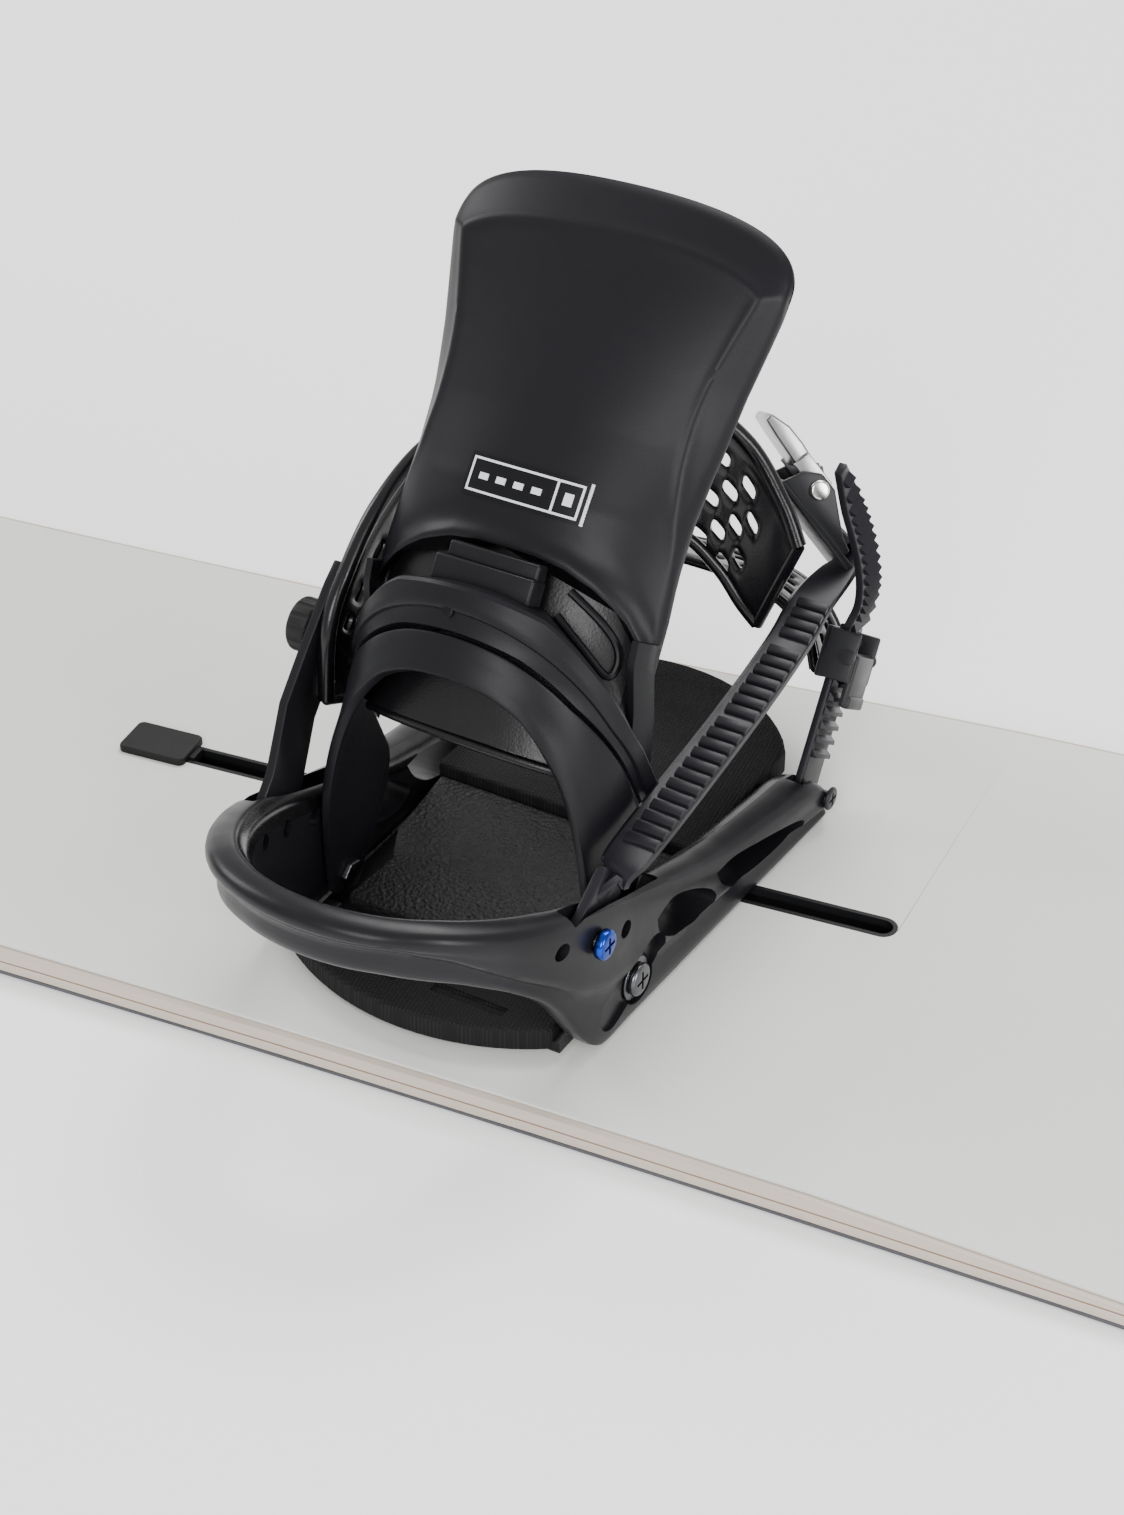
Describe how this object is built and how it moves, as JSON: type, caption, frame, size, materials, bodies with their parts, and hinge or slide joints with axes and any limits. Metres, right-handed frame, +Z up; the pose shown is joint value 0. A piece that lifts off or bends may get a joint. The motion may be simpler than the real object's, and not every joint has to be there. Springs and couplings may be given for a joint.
{
  "type": "snowboard",
  "caption": "Snowboard with two strap bindings: channel-mounted base plates, heel hoops, folding highbacks, ladder straps and ratchet buckles",
  "frame": {"origin": "centre of the board's flat base, on its running surface", "axes": "+X along the board towards the right-foot binding's end, +Y from heel edge to toe edge, +Z up from the base"},
  "size_m": [1.46, 0.29, 0.2399],
  "materials": {
    "board_base": "matte sintered base",
    "edge_steel": "ground",
    "board_core": "sawn",
    "sidewall": "satin",
    "topsheet": "satin lacquer",
    "rail_plastic": "satin",
    "soft_rubber": "matte",
    "binding_plastic": "satin moulded",
    "screw_steel": "zinc plated",
    "foam_pad": "ribbed weave",
    "shell_plastic": "satin moulded",
    "strap_plastic": "gloss moulded",
    "ladder_plastic": "satin",
    "buckle_metal": "brushed",
    "blue_metal": "blue anodised"
  },
  "bodies": {
    "board": {"base_sheet": "board_base", "steel_edges": "edge_steel", "core": "board_core", "tip_spacers": "sidewall", "sidewalls": "sidewall", "topsheet": "topsheet", "channel_rails": "rail_plastic", "channel_plugs": "soft_rubber"},
    "right_mount": {"right_disc": "binding_plastic", "right_disc_screws": "screw_steel", "right_channel_nuts": "screw_steel"},
    "right_base": {"right_baseplate": "binding_plastic", "right_footbed": "foam_pad", "right_toe_pad": "foam_pad", "right_heel_pad": "foam_pad", "right_hinge_bolts": "screw_steel", "right_strap_screws": "blue_metal"},
    "right_back": {"right_highback": "shell_plastic", "right_highback_loop": "shell_plastic", "right_heel_cushion": "foam_pad"},
    "right_lean_block": {"right_lean_adjuster": "binding_plastic"},
    "right_ankle": {"right_ankle_link": "binding_plastic", "right_ankle_strap": "strap_plastic", "right_ankle_ladder": "ladder_plastic", "right_ankle_buckle": "buckle_metal"},
    "right_knob": {"right_ankle_knob": "soft_rubber"},
    "right_ankle_catch": {"right_ankle_lever": "buckle_metal"},
    "right_toe": {"right_toe_link": "binding_plastic", "right_toe_strap": "strap_plastic", "right_toe_ladder": "ladder_plastic", "right_toe_buckle": "buckle_metal"},
    "right_toe_catch": {"right_toe_lever": "buckle_metal"},
    "left_mount": {"left_disc": "binding_plastic", "left_disc_screws": "screw_steel", "left_channel_nuts": "screw_steel"},
    "left_base": {"left_baseplate": "binding_plastic", "left_footbed": "foam_pad", "left_toe_pad": "foam_pad", "left_heel_pad": "foam_pad", "left_hinge_bolts": "screw_steel", "left_strap_screws": "blue_metal"},
    "left_back": {"left_highback": "shell_plastic", "left_highback_loop": "shell_plastic", "left_heel_cushion": "foam_pad"},
    "left_lean_block": {"left_lean_adjuster": "binding_plastic"},
    "left_ankle": {"left_ankle_link": "binding_plastic", "left_ankle_strap": "strap_plastic", "left_ankle_ladder": "ladder_plastic", "left_ankle_buckle": "buckle_metal"},
    "left_knob": {"left_ankle_knob": "soft_rubber"},
    "left_ankle_catch": {"left_ankle_lever": "buckle_metal"},
    "left_toe": {"left_toe_link": "binding_plastic", "left_toe_strap": "strap_plastic", "left_toe_ladder": "ladder_plastic", "left_toe_buckle": "buckle_metal"},
    "left_toe_catch": {"left_toe_lever": "buckle_metal"}
  },
  "joints": [
    {"name": "right_stance_slide", "type": "slide", "parent": "board", "child": "right_mount", "axis": [1, 0, 0], "range_m": [-0.045, 0.045]},
    {"name": "right_stance_angle", "type": "hinge", "parent": "right_mount", "child": "right_base", "pos_m": [0.262, 0, 0.0108], "axis": [0, 0, 1], "range_deg": [-15, 15]},
    {"name": "right_highback_fold", "type": "hinge", "parent": "right_base", "child": "right_back", "pos_m": [0.25496, -0.06103, 0.0238], "axis": [0.9911, -0.1328, 0], "range_deg": [0, 37]},
    {"name": "right_lean_adjust", "type": "slide", "parent": "right_back", "child": "right_lean_block", "axis": [0.07, 0.5223, 0.8499], "range_m": [0, 0.008]},
    {"name": "right_ankle_swing", "type": "hinge", "parent": "right_base", "child": "right_ankle", "pos_m": [0.19549, -0.0802, 0.058], "axis": [0.9911, -0.1328, 0], "range_deg": [-2.5, 1.5]},
    {"name": "right_knob_turn", "type": "hinge", "parent": "right_ankle", "child": "right_knob", "pos_m": [0.19071, -0.03602, 0.10348], "axis": [0.9911, -0.1328, 0], "continuous": true},
    {"name": "right_ankle_release", "type": "hinge", "parent": "right_ankle", "child": "right_ankle_catch", "pos_m": [0.31363, 0.09476, 0.1118], "axis": [-0.4742, 0.7776, -0.4129], "range_deg": [0, 70], "stiffness_Nm_per_rad": 0.05},
    {"name": "right_toe_swing", "type": "hinge", "parent": "right_base", "child": "right_toe", "pos_m": [0.33208, 0.04769, 0.0218], "axis": [0.9911, -0.1328, 0], "range_deg": [-8, 7]},
    {"name": "right_toe_release", "type": "hinge", "parent": "right_toe", "child": "right_toe_catch", "pos_m": [0.341, 0.07287, 0.06206], "axis": [-0.1114, -0.8312, 0.5446], "range_deg": [0, 75], "stiffness_Nm_per_rad": 0.03},
    {"name": "left_stance_slide", "type": "slide", "parent": "board", "child": "left_mount", "axis": [-1, 0, 0], "range_m": [-0.045, 0.045]},
    {"name": "left_stance_angle", "type": "hinge", "parent": "left_mount", "child": "left_base", "pos_m": [-0.262, 0, 0.0108], "axis": [0, 0, -1], "range_deg": [-15, 15]},
    {"name": "left_highback_fold", "type": "hinge", "parent": "left_base", "child": "left_back", "pos_m": [-0.25496, -0.06103, 0.0238], "axis": [0.9911, 0.1328, 0], "range_deg": [0, 37]},
    {"name": "left_lean_adjust", "type": "slide", "parent": "left_back", "child": "left_lean_block", "axis": [-0.07, 0.5223, 0.8499], "range_m": [0, 0.008]},
    {"name": "left_ankle_swing", "type": "hinge", "parent": "left_base", "child": "left_ankle", "pos_m": [-0.19549, -0.0802, 0.058], "axis": [0.9911, 0.1328, 0], "range_deg": [-2.5, 1.5]},
    {"name": "left_knob_turn", "type": "hinge", "parent": "left_ankle", "child": "left_knob", "pos_m": [-0.19071, -0.03602, 0.10348], "axis": [0.9911, 0.1328, 0], "continuous": true},
    {"name": "left_ankle_release", "type": "hinge", "parent": "left_ankle", "child": "left_ankle_catch", "pos_m": [-0.31363, 0.09476, 0.1118], "axis": [-0.4742, -0.7776, 0.4129], "range_deg": [0, 70], "stiffness_Nm_per_rad": 0.05},
    {"name": "left_toe_swing", "type": "hinge", "parent": "left_base", "child": "left_toe", "pos_m": [-0.33208, 0.04769, 0.0218], "axis": [0.9911, 0.1328, 0], "range_deg": [-8, 7]},
    {"name": "left_toe_release", "type": "hinge", "parent": "left_toe", "child": "left_toe_catch", "pos_m": [-0.341, 0.07287, 0.06206], "axis": [-0.1114, 0.8312, -0.5446], "range_deg": [0, 75], "stiffness_Nm_per_rad": 0.03}
  ]
}
